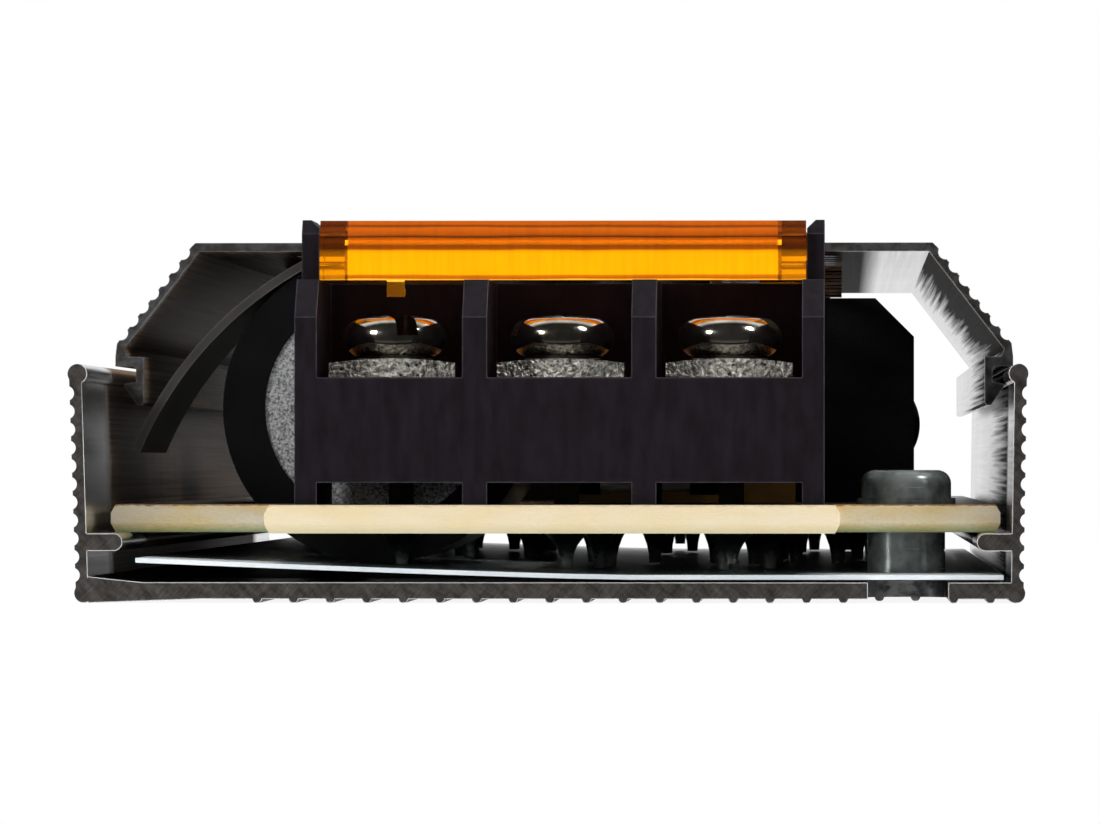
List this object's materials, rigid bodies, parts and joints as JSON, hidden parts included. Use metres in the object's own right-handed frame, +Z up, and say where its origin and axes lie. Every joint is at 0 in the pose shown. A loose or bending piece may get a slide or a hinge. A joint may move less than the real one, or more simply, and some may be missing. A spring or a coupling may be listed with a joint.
{
  "type": "slim switching power supply in an extruded case",
  "caption": "Slim open-ended switching power supply: ribbed extruded tray, snap-in vented cover, barrier terminal blocks with flip covers.",
  "frame": {"origin": "bottom centre of the tray, on the plane of its rib crests", "axes": "+X across the case, +Y along it from the input end to the output end, +Z up through the cover"},
  "size_m": [0.0538, 0.16, 0.0217],
  "materials": {
    "extruded_aluminium_tray": "mill-finish extrusion, sawn ends",
    "extruded_aluminium_cover": "mill-finish extrusion, sawn and punched",
    "polyester_film": "thin stiff film, cut edges",
    "phenolic_board": "solder-masked laminate with pale scored edges",
    "tinned_steel": "bright plated",
    "shield_sheet": "dark grey sheet, satin",
    "moulded_thermoplastic": "matte moulded black",
    "clear_amber_acrylic": "clear amber moulding, polished",
    "serrated_steel": "serrated plated clamp plate",
    "nickel_plated_steel": "bright nickel",
    "capacitor_aluminium": "drawn can, fine grained end",
    "shrink_sleeve": "shrunk sleeve, satin gloss",
    "plug_rubber": "moulded rubber",
    "black_anodised_aluminium": "black anodised plate",
    "epoxy_moulding": "fine matte epoxy",
    "white_moulding": "matte moulding",
    "sintered_ferrite": "dark sintered ferrite",
    "coated_powder_core": "yellow coated powder core",
    "phenolic_former": "moulded phenolic",
    "polyester_tape": "layered yellow tape",
    "enamelled_copper": "enamelled wire",
    "film_capacitor_box": "yellow box with potting",
    "blue_epoxy_dip": "dipped epoxy",
    "dark_epoxy_dip": "dipped epoxy",
    "fuse_glass": "glazed tube",
    "nickel_caps": "pressed nickel-plated caps",
    "blue_moulding": "moulded",
    "white_rotor": "moulded",
    "green_diffused_lens": "diffused epoxy lens",
    "lacquered_resistor": "lacquered body",
    "solder": "bright solder"
  },
  "bodies": {
    "case": {"case_tray": "extruded_aluminium_tray", "case_cover": "extruded_aluminium_cover", "insulating_film": "polyester_film", "circuit_board": "phenolic_board", "board_spacers": "tinned_steel", "board_screws": "tinned_steel", "inner_shield": "shield_sheet", "input_block": "moulded_thermoplastic", "input_plates": "tinned_steel", "output_block": "moulded_thermoplastic", "output_plates": "tinned_steel", "bulk_capacitor_can": "capacitor_aluminium", "bulk_capacitor_sleeve": "shrink_sleeve", "bulk_capacitor_plug": "plug_rubber", "primary_heat_sink": "black_anodised_aluminium", "power_transistor": "epoxy_moulding", "transistor_clip": "tinned_steel", "transformer_core": "sintered_ferrite", "transformer_bobbin": "phenolic_former", "transformer_winding": "polyester_tape", "choke_core": "sintered_ferrite", "choke_winding": "enamelled_copper", "line_capacitor": "film_capacitor_box", "safety_capacitors": "blue_epoxy_dip", "fuse_body": "fuse_glass", "fuse_caps": "nickel_caps", "thermistor": "dark_epoxy_dip", "bridge_rectifier": "epoxy_moulding", "output_heat_sink": "black_anodised_aluminium", "output_rectifier": "epoxy_moulding", "output_capacitor_cans": "capacitor_aluminium", "output_capacitor_sleeves": "shrink_sleeve", "inductor_core": "coated_powder_core", "inductor_winding": "enamelled_copper", "trimmer_body": "blue_moulding", "indicator_led": "green_diffused_lens", "optocoupler": "white_moulding", "control_chip": "epoxy_moulding", "resistors": "lacquered_resistor", "component_leads": "tinned_steel", "solder_joints": "solder", "component_joints": "solder"},
    "input_flip": {"input_cover": "clear_amber_acrylic"},
    "input_clamp_1": {"input_washer_1": "serrated_steel"},
    "input_bolt_1": {"input_screw_1": "nickel_plated_steel"},
    "input_clamp_2": {"input_washer_2": "serrated_steel"},
    "input_bolt_2": {"input_screw_2": "nickel_plated_steel"},
    "input_clamp_3": {"input_washer_3": "serrated_steel"},
    "input_bolt_3": {"input_screw_3": "nickel_plated_steel"},
    "output_flip": {"output_cover": "clear_amber_acrylic"},
    "output_clamp_1": {"output_washer_1": "serrated_steel"},
    "output_bolt_1": {"output_screw_1": "nickel_plated_steel"},
    "output_clamp_2": {"output_washer_2": "serrated_steel"},
    "output_bolt_2": {"output_screw_2": "nickel_plated_steel"},
    "trimmer_adjuster": {"trimmer_rotor": "white_rotor"}
  },
  "joints": [
    {"name": "input_cover_hinge", "type": "hinge", "parent": "case", "child": "input_flip", "pos_m": [0.00055, -0.0674, 0.02029], "axis": [-1, 0, 0], "range_deg": [0, 105]},
    {"name": "input_washer_1_lift", "type": "slide", "parent": "case", "child": "input_clamp_1", "axis": [0, 0, 1], "range_m": [0, 0.0009]},
    {"name": "input_screw_1_turn", "type": "hinge", "parent": "input_clamp_1", "child": "input_bolt_1", "pos_m": [-0.00895, -0.0735, 0.01379], "axis": [0, 0, 1], "range_deg": [0, 648.1]},
    {"name": "input_washer_2_lift", "type": "slide", "parent": "case", "child": "input_clamp_2", "axis": [0, 0, 1], "range_m": [0, 0.0009]},
    {"name": "input_screw_2_turn", "type": "hinge", "parent": "input_clamp_2", "child": "input_bolt_2", "pos_m": [0.00055, -0.0735, 0.01379], "axis": [0, 0, 1], "range_deg": [0, 648.1]},
    {"name": "input_washer_3_lift", "type": "slide", "parent": "case", "child": "input_clamp_3", "axis": [0, 0, 1], "range_m": [0, 0.0009]},
    {"name": "input_screw_3_turn", "type": "hinge", "parent": "input_clamp_3", "child": "input_bolt_3", "pos_m": [0.01005, -0.0735, 0.01379], "axis": [0, 0, 1], "range_deg": [0, 648.1]},
    {"name": "output_cover_hinge", "type": "hinge", "parent": "case", "child": "output_flip", "pos_m": [0, 0.0674, 0.02029], "axis": [1, 0, 0], "range_deg": [0, 105]},
    {"name": "output_washer_1_lift", "type": "slide", "parent": "case", "child": "output_clamp_1", "axis": [0, 0, 1], "range_m": [0, 0.0009]},
    {"name": "output_screw_1_turn", "type": "hinge", "parent": "output_clamp_1", "child": "output_bolt_1", "pos_m": [0.00475, 0.0735, 0.01379], "axis": [0, 0, 1], "range_deg": [0, 648.1]},
    {"name": "output_washer_2_lift", "type": "slide", "parent": "case", "child": "output_clamp_2", "axis": [0, 0, 1], "range_m": [0, 0.0009]},
    {"name": "output_screw_2_turn", "type": "hinge", "parent": "output_clamp_2", "child": "output_bolt_2", "pos_m": [-0.00475, 0.0735, 0.01379], "axis": [0, 0, 1], "range_deg": [0, 648.1]},
    {"name": "trimmer_turn", "type": "hinge", "parent": "case", "child": "trimmer_adjuster", "pos_m": [0.017, 0.05945, 0.00849], "axis": [0, 0, 1], "range_deg": [-120, 120]}
  ],
  "couplings": [
    {"joint": "input_screw_1_turn", "follows": "input_washer_1_lift", "rad_per_m": 12566},
    {"joint": "input_screw_2_turn", "follows": "input_washer_2_lift", "rad_per_m": 12566},
    {"joint": "input_screw_3_turn", "follows": "input_washer_3_lift", "rad_per_m": 12566},
    {"joint": "output_screw_1_turn", "follows": "output_washer_1_lift", "rad_per_m": 12566},
    {"joint": "output_screw_2_turn", "follows": "output_washer_2_lift", "rad_per_m": 12566}
  ]
}
